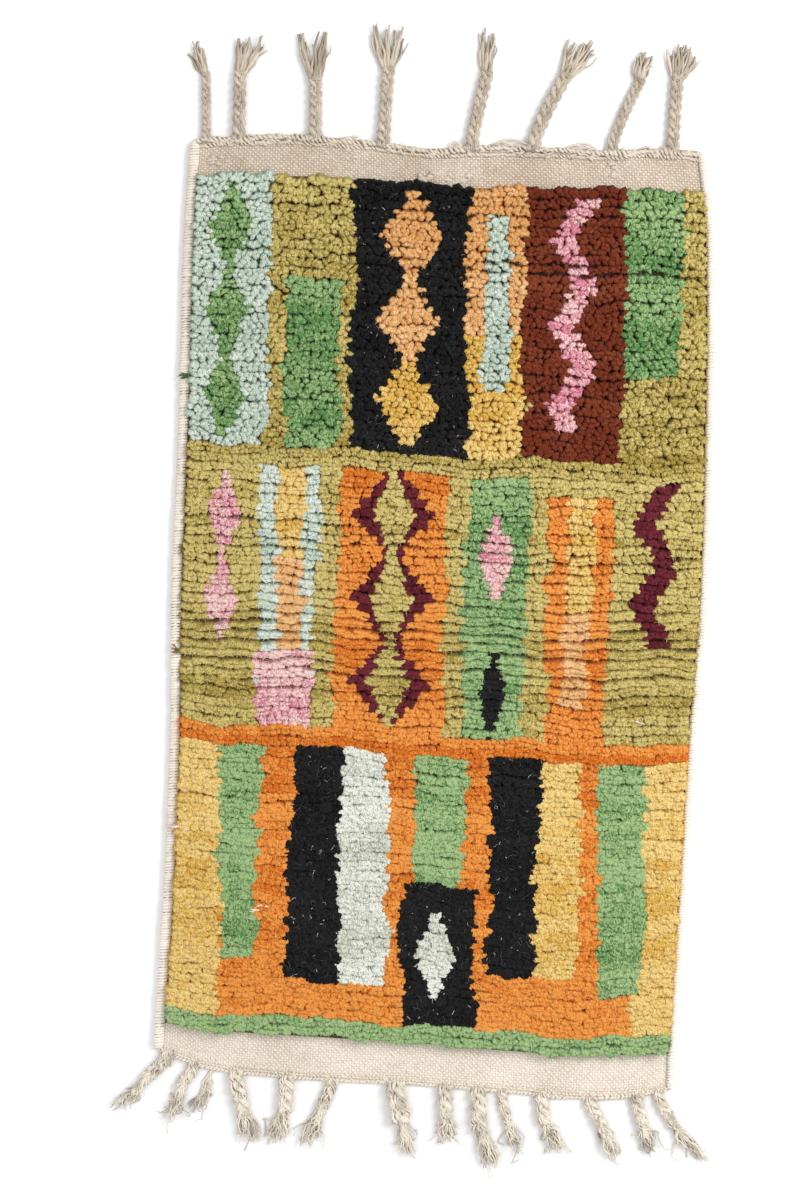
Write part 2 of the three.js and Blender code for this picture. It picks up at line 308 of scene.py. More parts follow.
def ground_cloth():
    lines, upper, hidden = woven_lines()
    columns = 2 * round(RUG_WIDTH / WARP_PITCH) + 1
    u = np.linspace(0, 1, columns)
    grid = np.array([np.stack(across(line, u, CLOTH_IN, CLOTH_IN), -1) for line in lines])
    row, column = np.indices(grid.shape[:2])
    crossing = (row % 2 == 0) & (column % 2 == 0)
    hole = (row % 2 == 1) & (column % 2 == 1)
    warp_over = (row // 2 + column // 2) % 2 == 0
    # Crest lifts the crossings and, in the finish, paints them paler and the holes darker, as light and
    # shade.
    crest = np.where(crossing, np.where(warp_over, 1.0, 0.35), np.where(hole, 0.0, 0.42))
    bare = (row < upper) | (row >= upper + hidden)
    crest = np.where(bare, crest + draw.normal(0, 0.12, crest.shape), 0.3)
    x = grid[..., 0]
    y = grid[..., 1]
    z = CLOTH_TOP + WEAVE_RELIEF * (crest - 0.5) + 0.35 * np.sin(0.021 * x + 0.9) * np.sin(0.09 * y)
    for p in PUCKERS:
        z += p["height"] * np.exp(-((x - p["x"]) ** 2 + (y - p["y"]) ** 2) / p["radius"] ** 2)
    top = np.stack([x, y, z], -1).reshape(-1, 3)
    index = np.arange(len(top)).reshape(row.shape)
    corners = [index[:-1, :-1], index[1:, :-1], index[1:, 1:], index[:-1, 1:]]
    quads = np.stack(corners, -1).reshape(-1, 4)
    rim = np.concatenate([index[:-1, 0], index[-1, :-1], index[:0:-1, -1], index[0, :0:-1]])
    under = len(top) + np.arange(len(rim))
    foot = top[rim] * (1, 1, 0)
    walls = np.stack([rim, under, np.roll(under, -1), np.roll(rim, -1)], -1)
    points = np.concatenate([top, foot])
    # The rows under the pile, and one beside it, are marked to be painted dark as the pile's shade.
    covered = (row >= upper - 1) & (row <= upper + hidden)
    values = {
        "crest": np.concatenate([crest.ravel(), np.full(len(rim), 0.3)]),
        "covered": np.concatenate([covered.ravel(), np.zeros(len(rim))]),
    }
    return build("ground_cloth", points, [quads, walls, under[::-1][None]], values)


cloth = ground_cloth()
weave_wool = plain_yarn("bare_weave", "a38e78", "faf1e4", grain=900, soiled=0.45)
dress(cloth, weave_wool, "ivory_wool", "pile_cloth")

# The edge twining
# Pairs of ivory yarns are twined through the warps along each end to lock the weave. At the top they make a
# thick uneven ridge with loops pulled out of it, and at the bottom three fine rows of stitches. Soft lengths
# of weft float on the bare weave in a few patches.

TWINE_ROWS = table(
    "top share radius swing pitch lift",
    (1, 0.06, 1.7, 1.7, 11, 4.6),
    (1, 0.20, 1.2, 1.2, 9, 3.8),
    (0, 0.97, 1.5, 1.5, 4.4, 3.9),
    (0, 0.89, 1.2, 1.2, 4.0, 3.9),
    (0, 0.79, 1.1, 1.1, 4.0, 3.7),
)
TWINE_SIDES = 5
TWINE_STEPS = 6
TOP_LOOPS = 170
BIG_LOOPS = table(
    "x span out tilt",
    (66, 44, 9, 0.10),
    (58, 30, 6, -0.12),
    (150, 36, 8, -0.06),
    (140, 26, 5, 0.15),
    (5, 14, 7, 0.5),
)
FLOAT_PATCHES = table(
    "x y reach depth count",
    (-262, 505, 16, 6, 7),
    (0, 494, 36, 6, 20),
    (190, 508, 18, 7, 5),
    (-120, 518, 20, 6, 3),
)


def tubes(paths, radii, sides, reference=(0, 0, 1), tone=1):
    """Points, faces and crest values of many closed yarns at once, one for each path of like length."""
    paths = np.asarray(paths, float)
    count, steps = paths.shape[:2]
    radii = np.broadcast_to(np.asarray(radii, float), (count, steps))
    along = np.gradient(paths, axis=1)
    along /= np.linalg.norm(along, axis=2, keepdims=True) + 1e-9
    flat = np.cross(along, np.asarray(reference, float))
    flat /= np.linalg.norm(flat, axis=2, keepdims=True) + 1e-9
    rise = np.cross(flat, along)
    turn = np.arange(sides) * 2 * math.pi / sides
    ring = np.cos(turn)[:, None] * flat[:, :, None] + np.sin(turn)[:, None] * rise[:, :, None]
    points = paths[:, :, None] + ring * radii[:, :, None, None]
    tips = paths[:, [0, -1]] + along[:, [0, -1]] * radii[:, [0, -1], None] * np.array([-0.7, 0.7])[:, None]
    body = steps * sides
    index = np.arange(body).reshape(steps, sides)
    a = index[:-1]
    b = index[1:]
    quads = np.stack([a, np.roll(a, -1, 1), np.roll(b, -1, 1), b], -1).reshape(-1, 4)
    first = index[0]
    last = index[-1]
    caps = np.concatenate(
        [
            np.stack([np.roll(first, -1), first, np.full(sides, body)], -1),
            np.stack([last, np.roll(last, -1), np.full(sides, body + 1)], -1),
        ]
    )
    start = (np.arange(count) * (body + 2))[:, None, None]
    points = np.concatenate([points.reshape(count, body, 3), tips], 1).reshape(-1, 3)
    tone = np.broadcast_to(np.asarray(tone, float), (count, steps))
    # Each yarn is painted paler on its top and darker underneath, as light and shade, scaled by its tone.
    crest = (tone[:, :, None] * (0.5 + 0.5 * np.sin(turn))).reshape(count, body)
    crest = np.concatenate([crest, tone[:, [0, -1]]], 1)
    return points, (quads + start).reshape(-1, 4), (caps + start).reshape(-1, 3), crest.ravel()


def bundle(name, parts):
    """One mesh object from several sets of yarns."""
    points = []
    quads = []
    caps = []
    crest = []
    start = 0
    for p, q, c, v in parts:
        points.append(p)
        quads.append(q + start)
        caps.append(c + start)
        crest.append(v)
        start += len(p)
    faces = [np.concatenate(quads), np.concatenate(caps)]
    return build(name, np.concatenate(points), faces, {"crest": np.concatenate(crest)})


def wander(length, size, rough=0.85):
    """A slow random wander of a given size."""
    steps = draw.normal(0, 1, length)
    for i in range(1, length):
        steps[i] = rough * steps[i - 1] + math.sqrt(1 - rough**2) * steps[i]
    return size * steps


def twined_ridge(row):
    """Two thick yarns that wind round each other along the top."""
    length = RUG_WIDTH - 2 * OVERCAST_WIDTH
    steps = round(length / row["pitch"] * TWINE_STEPS)
    line = between("top_edge", "pile_top", row["share"])
    x, y = across(line, np.linspace(0, 1, steps), CLOTH_IN, CLOTH_IN)
    turn = np.arange(steps) * 2 * math.pi / TWINE_STEPS + wander(steps, 0.9, 0.98)
    sway = row["swing"] * np.clip(1 + wander(steps, 0.5), 0.4, 2.0)
    y = y + wander(steps, 1.0, 0.96)
    parts = []
    for half in (0, math.pi):
        rise = row["lift"] + sway * np.sin(turn + half)
        path = np.stack([x, y + sway * np.cos(turn + half), rise], -1)
        thick = row["radius"] * np.clip(1 + wander(steps, 0.22), 0.6, 1.5)
        # Each strand is painted darker where it dips under the other, as shade.
        parts.append(tubes([path], thick, TWINE_SIDES, tone=0.8 + 0.2 * np.sin(turn + half)))
    return parts


def twined_stitches(row, slant):
    """A fine twined row, of which only the slanting stitches on top show."""
    length = RUG_WIDTH - 2 * OVERCAST_WIDTH
    count = round(length / row["pitch"])
    u = (np.arange(count) + 0.5 + draw.normal(0, 0.1, count)) / count
    x, y = across(between("pile_foot", "bottom_edge", row["share"]), u, CLOTH_IN, CLOTH_IN)
    y = y + wander(count, 0.5, 0.9)
    t = np.linspace(-1, 1, TWINE_STEPS)
    px = x[:, None] + 0.55 * row["pitch"] * t
    py = y[:, None] + slant * row["swing"] * draw.uniform(0.6, 1.1, (count, 1)) * t
    pz = row["lift"] - 1.3 * t**2 + draw.normal(0, 0.15, (count, 1))
    thick = row["radius"] * (1 - 0.6 * t**2) * draw.uniform(0.85, 1.15, (count, 1))
    # Each stitch is painted darker towards its ends, where it dips into the weave, as shade.
    return [tubes(np.stack([px, py, pz], -1), thick, TWINE_SIDES, tone=(1.05 - 0.7 * t**2)[None])]


def twined_edge():
    parts = []
    for i, row in enumerate(TWINE_ROWS):
        parts += twined_ridge(row) if row["top"] else twined_stitches(row, 1 - 2 * (i % 2))
    return bundle("edge_twining", parts)


def arch(x, y, angle, span, out, rise, radius, steps=9, tone=1):
    """A short length of yarn that stands up in an arch, bowed out to one side."""
    t = np.linspace(0, 1, steps)
    bow = np.sin(math.pi * t)
    px = span * (t - 0.5) + wander(steps, 0.5)
    py = out * bow + wander(steps, 0.5)
    path = np.stack(
        [
            x + px * math.cos(angle) - py * math.sin(angle),
            y + px * math.sin(angle) + py * math.cos(angle),
            CLOTH_TOP + 0.2 + rise * bow,
        ],
        -1,
    )
    thick = radius * np.clip(1 + wander(steps, 0.15), 0.7, 1.3) * (0.55 + 0.45 * bow)
    return tubes([path], thick, TWINE_SIDES, tone=tone)


def pulled_loops():
    """Loops that have worked out of the top ridge."""
    parts = []
    for _ in range(TOP_LOOPS):
        u = draw.uniform(0.01, 0.99)
        x, y = across(between("top_edge", "pile_top", draw.uniform(0.0, 0.2)), np.array([u]))
        span = draw.uniform(5, 15)
        out = draw.uniform(-1.5, 3)
        rise = draw.uniform(1, 3.5)
        radius = draw.uniform(1.0, 1.8)
        angle = draw.normal(0, 0.3)
        tone = draw.uniform(0.7, 1)
        parts.append(arch(x[0], y[0], angle, span, out, rise, radius, tone=tone))
    for loop in BIG_LOOPS:
        y = float(end("top_edge", loop["x"])) - 1
        parts.append(
            arch(loop["x"], y, loop["tilt"], loop["span"], loop["out"], rise=3.0, radius=1.5, steps=17)
        )
    return bundle("pulled_loops", parts)


def woven_floats():
    """Thick, soft lengths of weft that stand out of the weave in patches."""
    parts = []
    for patch in FLOAT_PATCHES:
        for _ in range(int(patch["count"])):
            x = patch["x"] + draw.uniform(-1, 1) * patch["reach"]
            y = patch["y"] + draw.uniform(-1, 1) * patch["depth"]
            span = draw.uniform(5, 10)
            rise = draw.uniform(0.1, 0.7)
            radius = draw.uniform(2.0, 3.2)
            parts.append(arch(x, y, draw.normal(0, 0.25), span, out=0.5, rise=rise, radius=radius, tone=0.62))
    return bundle("woven_floats", parts)


twine_wool = plain_yarn("twined_yarn", "ab9a86", "eee3d2", grain=1100)
twining = dress(twined_edge(), twine_wool, "ivory_wool")
loops = dress(pulled_loops(), twine_wool, "ivory_wool")
floats = dress(woven_floats(), weave_wool, "ivory_wool")

# The overcast sides
# The outermost warps are bundled into a cord down each side and wrapped round and round with ivory yarn,
# close but uneven, so the wraps crowd and gape by turns.

LEFT_WIDTH = 14
RIGHT_WIDTH = 10.5
WRAP_PITCH = 3.2
WRAP_RADIUS = 1.85
WRAP_STEPS = 9
WRAP_SIDES = 5
CORD_HEIGHT = 8.6
CORD_STEPS = 60
CORD_SIDES = 8
END_TAPER = 9


def overcast(name, column, inward, corner, width):
    top = ENDS["top_edge"][corner]
    foot = ENDS["bottom_edge"][corner]
    turns = round((top - foot) / WRAP_PITCH)
    steps = turns * WRAP_STEPS
    turn = np.arange(steps) * 2 * math.pi / WRAP_STEPS
    y = np.linspace(top - WRAP_RADIUS, foot + WRAP_RADIUS, steps) + wander(steps, 0.5, 0.97)
    swell = 1 + np.clip(wander(steps, 0.05, 0.98), -0.09, 0.09)
    swell = swell * np.clip(np.minimum(top - y, y - foot) / END_TAPER, 0.2, 1) ** 0.5
    across_reach = (width / 2 - WRAP_RADIUS) * swell
    up_reach = (CORD_HEIGHT / 2 - WRAP_RADIUS) * swell
    x = side(column, y) + inward * width / 2
    lift = WRAP_RADIUS + up_reach
    wrap = np.stack([x + across_reach * np.cos(turn), y, lift + up_reach * np.sin(turn)], -1)
    thick = WRAP_RADIUS * np.clip(1 + wander(steps, 0.12, 0.93), 0.7, 1.3)
    cord_y = np.linspace(top - END_TAPER, foot + END_TAPER, CORD_STEPS)
    cord_x = side(column, cord_y) + inward * width / 2
    cord = np.stack([cord_x, cord_y, np.full(CORD_STEPS, CORD_HEIGHT / 2)], -1)
    wrapped = tubes([wrap], thick, WRAP_SIDES, reference=(0, 1, 0))
    return bundle(name, [wrapped, tubes([cord], CORD_HEIGHT / 2 - WRAP_RADIUS, CORD_SIDES)])


wrap_wool = plain_yarn("wrapping_yarn", "d8ccbd", "fbf4ea", grain=1000)
left_wraps = overcast("overcast_wraps_left", "left", 1, 0, LEFT_WIDTH)
left_side = dress(left_wraps, wrap_wool, "ivory_wool", "overcast_left")
right_wraps = overcast("overcast_wraps_right", "right", -1, -1, RIGHT_WIDTH)
right_side = dress(right_wraps, wrap_wool, "ivory_wool", "overcast_right")

# The knotted pile
# Each knot of soft hand-spun wool splays into a few tufts that lean towards the foot of the rug. The rows are
# beaten down unevenly, so dark lines show between them, and the dye changes a little from row to row.

ROWS = 92
PILE_WIDTH = 566
DYES = {
    "olive": ("a38d3c", "d9c67c"),
    "green": ("568849", "a8c488"),
    "yellow": ("dba83c", "f2d386"),
    "peach": ("dd9f5c", "f4c48a"),
    "orange": ("d66c16", "f4a04a"),
    "black": ("020203", "201f21"),
    "brown": ("6e280f", "883f22"),
    "burgundy": ("58111c", "742733"),
    "pink": ("da7b94", "f8d5ce"),
    "aqua": ("b6c8b6", "e0e9dc"),
    "mint": ("c4c9b3", "f1f2e7"),
}
REGISTERS = table(
    "first rows pitch layers knot pull pale head loose height lean dome",
    (0, 29, 6.5, 0.43, 9.5, 0.14, 0.0, 4.1, 1.0, 15.2, 2.5, 0.9),
    (29, 2, 5.4, 0.43, 11, 0.15, 0.1, 3.7, 0.7, 16.0, 3.0, 0.75),
    (31, 28, 5.0, 0.42, 12, 0.2, 0.26, 3.8, 0.65, 15.0, 3.5, 0.65),
    (59, 2, 4.7, 0.45, 12, 0.15, 0.1, 3.9, 0.7, 15.8, 4.0, 0.5),
    (61, 29, 4.4, 0.46, 12, 0.14, 0.22, 4.1, 0.8, 15.4, 4.0, 0.4),
    (90, 2, 4.4, 0.46, 11, 0.12, 0.3, 3.8, 0.9, 16.3, 5.0, 0.55),
)
GROUNDS = ["olive", "olive", "olive", "orange", "orange", "green"]
BARS = [
    # register, dye, centre, width, first row, last row, form
    (0, "aqua", -258, 110, 0, 29, "bar"),
    (0, "green", -250, 48, 1, 28, "lozenges"),
    (0, "green", -152, 62, 11, 29, "bar"),
    (0, "peach", 52, 90, 0, 16, "bar"),
    (0, "yellow", 52, 90, 16, 29, "bar"),
    (0, "aqua", 57, 26, 3, 22, "bar"),
    (0, "black", -42, 132, 0, 29, "bar"),
    (0, "peach", -42, 72, 1, 19, "lozenges"),
    (0, "yellow", -42, 72, 19, 28, "lozenges"),
    (0, "green", 226, 80, 0, 20, "bar"),
    (0, "brown", 144, 110, 0, 29, "bar"),
    (0, "pink", 144, 28, 1, 26, "zigzag"),
    (2, "pink", -246, 38, 1, 19, "lozenges"),
    (2, "aqua", -170, 66, 0, 24, "bar"),
    (2, "yellow", -170, 28, 0, 10, "bar"),
    (2, "peach", -170, 28, 10, 20, "bar"),
    (2, "pink", -170, 64, 20, 28, "bar"),
    (2, "orange", -52, 126, 0, 28, "bar"),
    (2, "burgundy", -52, 94, 0, 27, "lozenges"),
    (2, "olive", -52, 46, 0, 27, "lozenges"),
    (2, "green", 66, 70, 0, 28, "bar"),
    (2, "black", 66, 30, 19, 28, "lozenges"),
    (2, "pink", 66, 42, 4, 13, "lozenges"),
    (2, "orange", 162, 70, 2, 28, "bar"),
    (2, "yellow", 162, 30, 2, 14, "bar"),
    (2, "peach", 162, 30, 14, 24, "bar"),
    (2, "burgundy", 246, 26, 0, 18, "zigzag"),
    (4, "yellow", -270, 76, 0, 29, "bar"),
    (4, "green", -216, 50, 0, 23, "bar"),
    (4, "mint", -80, 68, 0, 25, "bar"),
    (4, "black", -128, 54, 0, 25, "bar"),
    (4, "green", 12, 58, 0, 14, "bar"),
    (4, "black", 12, 88, 14, 29, "bar"),
    (4, "mint", 12, 46, 17, 26, "lozenges"),
    (4, "yellow", 142, 64, 0, 23, "bar"),
    (4, "black", 98, 48, 0, 23, "bar"),
    (4, "yellow", 276, 80, 0, 29, "bar"),
    (4, "green", 222, 54, 0, 25, "bar"),
]
LOZENGE_ROWS = 9
BAR_WANDER = 3.0
FIGURE_WANDER = 1.0
PILE_LEFT = 15.6
PILE_RIGHT = 12
PULLED_AT = 0.54
PULLED_REACH = 0.05
ROOT_HEIGHT = 2.6
WISPS = 3
TUFT_SIDES = 5
RING_GIRTHS = (1.6, 1.08, 0.78)
RING_LEANS = (1.0, 0.2, 0.04)
RING_LEVELS = (0.0, 0.45, 0.85)
GAPE_STATIONS = 60


def bar_mask(x, row, centre, width, first, last, form):
    """Which tufts a bar takes in, from its form and the uneven line of its two edges."""
    inside = (row >= first) & (row < last)
    size = BAR_WANDER if form == "bar" else FIGURE_WANDER
    left_stray = wander(ROWS, size, 0.85) + draw.normal(0, 0.5 * size, ROWS)
    right_stray = wander(ROWS, size, 0.85) + draw.normal(0, 0.5 * size, ROWS)
    half = np.full(len(row), width / 2)
    middle = np.full(len(row), float(centre))
    step = np.abs(((row - first) % LOZENGE_ROWS) - (LOZENGE_ROWS - 1) / 2) / (LOZENGE_ROWS / 2)
    if form == "lozenges":
        half = half * (1 - 0.86 * step)
    if form == "zigzag":
        middle = middle + width * (step - 0.5)
    return inside & (x > middle - half + left_stray[row]) & (x < middle + half + right_stray[row])


def row_sway(x, y):
    """How far the rows bend out of line where the weft was beaten in by hand."""
    return (
        1.9 * np.sin(x / 33 + y / 61 + 1.0)
        + 1.3 * np.sin(x / 16 - y / 27 + 2.1)
        + 0.9 * np.sin(x / 8.5 + y / 13 + 0.4)
    )


def tuft_places():
    """Every tuft's row, place, size along and across the row, height, lean, turn, roundness and tone.

    A knot's cut end splays into several tufts, which keep together.
    """
    sets = []
    stations = np.linspace(0, 1, GAPE_STATIONS)
    base = np.clip(0.25 + wander(ROWS + 1, 0.5, 0.2), 0, 1.4)
    gape = np.array([g * np.clip(1 + wander(GAPE_STATIONS, 0.7), 0, 2.2) for g in base])
    for register in REGISTERS:
        for row in range(int(register["first"]), int(register["first"] + register["rows"])):
            pulled = math.exp(-((((row + 0.5) / ROWS - PULLED_AT) / PULLED_REACH) ** 2))
            count = round(PILE_WIDTH / register["pitch"])
            knots = round(PILE_WIDTH / register["knot"])
            bounds = (np.arange(knots + 1) + draw.uniform(-0.25, 0.25, knots + 1)) / knots
            own_place, own_height, own_tone = draw.normal(0, 1, (3, knots))
            for layer in (0, 1):
                u = np.arange(count) + 0.5 * layer + 0.25
                u = (u + draw.normal(0, 0.10 + 0.10 * register["loose"], count)) / count
                knot = np.clip(np.searchsorted(bounds, u) - 1, 0, knots - 1)
                u = mix(u, (bounds[knot] + bounds[knot + 1]) / 2, register["pull"])
                stand = (row + 0.5 + (layer - 0.5) * register["layers"]) / ROWS
                x, y = across(between("pile_top", "pile_foot", stand), u, PILE_LEFT, PILE_RIGHT)
                opened = np.interp(u, stations, gape[row + layer]) * (0.8 + 1.2 * pulled) + 0.9 * pulled
                y = y + row_sway(x, y) + wander(count, 0.35, 0.8)
                y = y + draw.normal(0, 0.15 + 0.4 * register["loose"], count)
                y = y + own_place[knot] * (0.2 + 0.6 * register["loose"])
                y = y + (layer - 0.5) * 0.9 * opened
                head = register["head"] * draw.uniform(0.88, 1.12, count)
                long_head = head * (1 + 0.5 * pulled)
                deep_head = head * np.clip(1 - 0.13 * opened, 0.6, 1) * 0.92
                height = register["height"] + draw.normal(0, 0.4, count) + 0.45 * own_height[knot]
                height = height - 0.5 * opened - 1.0 * pulled
                lean = register["lean"] * draw.uniform(0.7, 1.3, count)
                turned = draw.normal(0, 0.6 * register["loose"] * (1 - pulled), count)
                dome = np.full(count, register["dome"])
                tone = 0.5 + 0.25 * own_tone[knot] + draw.normal(0, 0.15, count)
                rows = np.full(count, row)
                sets.append([rows, x, y, long_head, deep_head, height, lean, turned, dome, tone])
    return [np.concatenate(column) for column in zip(*sets)]


def chart(x, row):
    """The dye of every tuft: each register's ground, with its bars and figures over it."""
    names = list(DYES)
    found = np.zeros(len(row), int)
    for ground, register in zip(GROUNDS, REGISTERS):
        inside = (row >= register["first"]) & (row < register["first"] + register["rows"])
        found[inside] = names.index(ground)
    for number, name, centre, width, first, last, form in BARS:
        start = int(REGISTERS["first"][number])
        found[bar_mask(x, row, centre, width, start + first, start + last, form)] = names.index(name)
    return found


def tuft_mesh(x, y, long_head, deep_head, height, lean, turned, dome):
    """Leaning tufts, each a five-sided stem that swells into a rounded, slightly lumpy head."""
    count = len(x)
    sides = TUFT_SIDES
    turn = np.arange(sides) * 2 * math.pi / sides + draw.uniform(0, 2 * math.pi, (count, 1))
    girth = np.array(RING_GIRTHS)[None, :, None] * draw.uniform(0.76, 1.24, (count, 3, sides))
    back = np.array(RING_LEANS)
    stretch = draw.uniform(0, 0.3, count)
    half_long = (long_head * (1 + stretch))[:, None, None] * girth * np.cos(turn)[:, None]
    half_deep = (deep_head * (1 - 0.5 * stretch))[:, None, None] * girth * np.sin(turn)[:, None]
    cos = np.cos(turned)[:, None, None]
    sin = np.sin(turned)[:, None, None]
    head = dome * (long_head + deep_head) / 2
    rise = np.stack([np.full(count, ROOT_HEIGHT), height - 1.0 * head, height - 0.28 * head], 1)
    px = x[:, None, None] + half_long * cos - half_deep * sin
    py = y[:, None, None] + half_long * sin + half_deep * cos
    py = py + (lean[:, None] * back)[:, :, None]
    pz = rise[:, :, None] + draw.normal(0, 0.4, (count, 3, sides))
    rings = np.stack([px, py, pz], -1).reshape(count, -1, 3)
    crown = np.stack([x + draw.normal(0, 0.5, count), y + draw.normal(0, 0.5, count), height], -1)[:, None]
    points = np.concatenate([rings, crown], 1)
    index = np.arange(3 * sides).reshape(3, sides)
    a = index[:-1]
    b = index[1:]
    quads = np.stack([a, np.roll(a, -1, 1), np.roll(b, -1, 1), b], -1).reshape(-1, 4)
    caps = np.stack([index[2], np.roll(index[2], -1), np.full(sides, 3 * sides)], -1)
    start = (np.arange(count) * (3 * sides + 1))[:, None, None]
    level = np.tile(np.concatenate([np.repeat(RING_LEVELS, sides), [1.0]]), count)
    return points.reshape(-1, 3), (quads + start).reshape(-1, 4), (caps + start).reshape(-1, 3), level


def wisps(x, y, head, height):
    """Stray fibres that stand out of the heads."""
    x, y, head, height = (np.repeat(v, WISPS) for v in (x, y, head, height))
    count = len(x)
    turn = draw.uniform(0, 2 * math.pi, count)
    out = np.stack([np.cos(turn), np.sin(turn) - 0.35, np.zeros(count)], -1)
    foot = np.stack([x, y, height - 0.5 * head], -1) + out * (0.6 * head)[:, None]
    length = draw.uniform(1.8, 6.0, count)[:, None]
    tip = foot + out * length * 0.75 + np.array([0, 0, 1]) * length * draw.uniform(0.1, 0.6, (count, 1))
    flat = np.stack([-out[:, 1], out[:, 0], np.zeros(count)], -1) * 0.22
    points = np.stack([foot - flat, foot + flat, tip], 1)
    return points.reshape(-1, 3), np.arange(3 * count).reshape(-1, 3)


def dyed_wool(name, deep, pale):
    """Hand-dyed wool: the batch changes from row to row, tufts differ, and the stems are painted darker deep
    in the pile, as shade.
    """
    paint = Paint(name + "_wool")
    fibre = paint.noise(620, 3, (1, 0.5, 0.6))
    clump = paint.noise(380, 2)
    patch = paint.noise(24, 2)
    share = paint.value("batch") + (paint.value("tuft") - 0.5) * 0.5 + (patch - 0.5) * 0.6
    share = paint.clamped(share + (fibre - 0.5) * 3.4 + (clump - 0.5) * 2.4)
    colour = paint.blend(dye(deep), dye(pale), share)
    # The lower rings of each tuft are painted darker, towards the deep dye, as shade deep in the pile.
    depth = paint.clamped(0.6 - paint.value("level") * 0.9)
    colour = paint.blend(colour, dye(deep), depth, "MULTIPLY")
    return paint.wool(colour, paint.bump(fibre + clump, 0.0035), roughness=0.97, sheen=0.04)


def knotted_pile(tufts, dyes):
    row, *shape, tone = tufts
    row = row.astype(int)
    paler = np.repeat(REGISTERS["pale"], REGISTERS["rows"].astype(int))
    pieces = []
    for number, (name, (deep, pale)) in enumerate(DYES.items()):
        chosen = dyes == number
        batch = np.clip(0.5 + wander(ROWS, 0.22, 0.55), 0.05, 0.95) + paler
        picked_batch = batch[row[chosen]]
        picked = [v[chosen] for v in shape]
        points, quads, caps, level = tuft_mesh(*picked)
        hairs, hair_faces = wisps(picked[0], picked[1], picked[3], picked[4])
        sizes = (len(points) // int(chosen.sum()), 3 * WISPS)
        values = {
            "level": np.concatenate([level, np.full(len(hairs), 0.9)]),
            "batch": np.concatenate([np.repeat(picked_batch + 0.4 * k, n) for k, n in enumerate(sizes)]),
            "tuft": np.concatenate([np.repeat(tone[chosen], n) for n in sizes]),
        }
        faces = [quads, np.concatenate([caps, hair_faces + len(points)])]
        piece = build("pile_" + name, np.concatenate([points, hairs]), faces, values)
        pieces.append(dress(piece, dyed_wool(name, deep, pale), "pile_wool"))
    return pieces


tufts = tuft_places()
tuft_dyes = chart(tufts[1], tufts[0].astype(int))
pile = knotted_pile(tufts, tuft_dyes)
dyed = {piece.name: piece.data.materials[0] for piece in pile}

# The loose fibres
# White lint has settled on the black wool, and its fuzz is drawn as grey hairs whose grey is a painted sheen.
# The ivory weft shows through in a few places where the pile is thin, and some long ends of dyed yarn have
# worked out of the sides.

LINT = 130
FUZZ = 240
BARE_WEFT = table(
    "x y span",
    (-284, -255, 16),
    (-276, -262, 9),
    (-191, -349, 12),
    (-186, -343, 7),
    (236, -120, 8),
)
STRAY_ENDS = [
    # dye, x, y, length, angle
    ("green", -290, 258, 15, 3.35),
    ("olive", -290, -55, 13, 3.05),
    ("olive", -289, 62, 9, 3.5),
    ("olive", 295, 30, 9, -0.2),
    ("yellow", 287, -250, 8, 0.3),
    ("green", 278, -478, 11, -0.9),
]
STRAYS_EACH = 7
STRAY_STEPS = 10
HAIR_STEPS = 7
PILE_TOP = 15.0


def hairs_on(chosen, shortest, longest):
    """Curled hairs that lie on the heads of some tufts."""
    parts = []
    for px, py, pz in zip(tuft_x[chosen], tuft_y[chosen], tuft_height[chosen]):
        heading = draw.uniform(0, 2 * math.pi) + np.cumsum(draw.normal(0.15, 0.6, HAIR_STEPS))
        step = draw.uniform(shortest, longest) / HAIR_STEPS
        path = np.cumsum(np.stack([np.cos(heading), np.sin(heading)], -1) * step, 0) + (px, py)
        rise = pz + 0.4 + wander(HAIR_STEPS, 0.3)
        parts.append(tubes([np.concatenate([path, rise[:, None]], 1)], draw.uniform(0.12, 0.3), 3))
    return parts


def bare_weft():
    """Short lengths of the ivory weft that have worked up through the pile."""
    parts = []
    for weft in BARE_WEFT:
        for _ in range(3):
            x = weft["x"] + draw.normal(0, 3)
            y = weft["y"] + draw.normal(0, 1.2)
            rise = PILE_TOP - CLOTH_TOP + draw.uniform(0.2, 0.9)
            angle = draw.normal(0, 0.2)
            parts.append(arch(x, y, angle, weft["span"] * 1.4, out=0.6, rise=rise, radius=0.9))
    return parts


def stray_ends(name):
    """Long ends of one dye's yarn that lie out over the side of the rug."""
    parts = []
    for dye_name, x, y, length, angle in STRAY_ENDS:
        t = np.linspace(0, 1, STRAY_STEPS)
        for _ in range(STRAYS_EACH if dye_name == name else 0):
            heading = angle + draw.normal(0, 0.35) + draw.normal(0, 0.5) * t
            reach = length * draw.uniform(0.5, 1) / STRAY_STEPS
            px = x + np.cumsum(np.cos(heading)) * reach
            py = y + np.cumsum(np.sin(heading)) * reach + draw.normal(0, 1)
            pz = mix(PILE_TOP - 1, 8, t**1.5)
            parts.append(tubes([np.stack([px, py, pz], -1)], mix(0.8, 0.3, t), 4))
    return parts


_, tuft_x, tuft_y, _, _, tuft_height, *_ = tufts
black_tufts = np.flatnonzero(tuft_dyes == list(DYES).index("black"))
lint_parts = hairs_on(draw.choice(black_tufts, LINT), shortest=1, longest=7) + bare_weft()
lint = dress(bundle("lint_and_weft", lint_parts), twine_wool, "ivory_wool")
# The grey of these hairs is painted sheen on the black wool's fuzz.
fuzz_sheen_wool = plain_yarn("grey_fuzz_sheen", "2c2a2a", "5c5856", grain=900)
fuzz_parts = hairs_on(draw.choice(black_tufts, FUZZ), shortest=5, longest=14)
fuzz = dress(bundle("black_fuzz", fuzz_parts), fuzz_sheen_wool, "pile_wool")
for name in ("green", "olive", "yellow"):
    stray = dress(bundle("stray_ends_" + name, stray_ends(name)), dyed["pile_" + name], "pile_wool")

# The top plaits
# The warps left over at the top are gathered and plaited in three, bound at the neck with turns of yarn,
# and left as a loose brush. They lie on the floor as they fall.

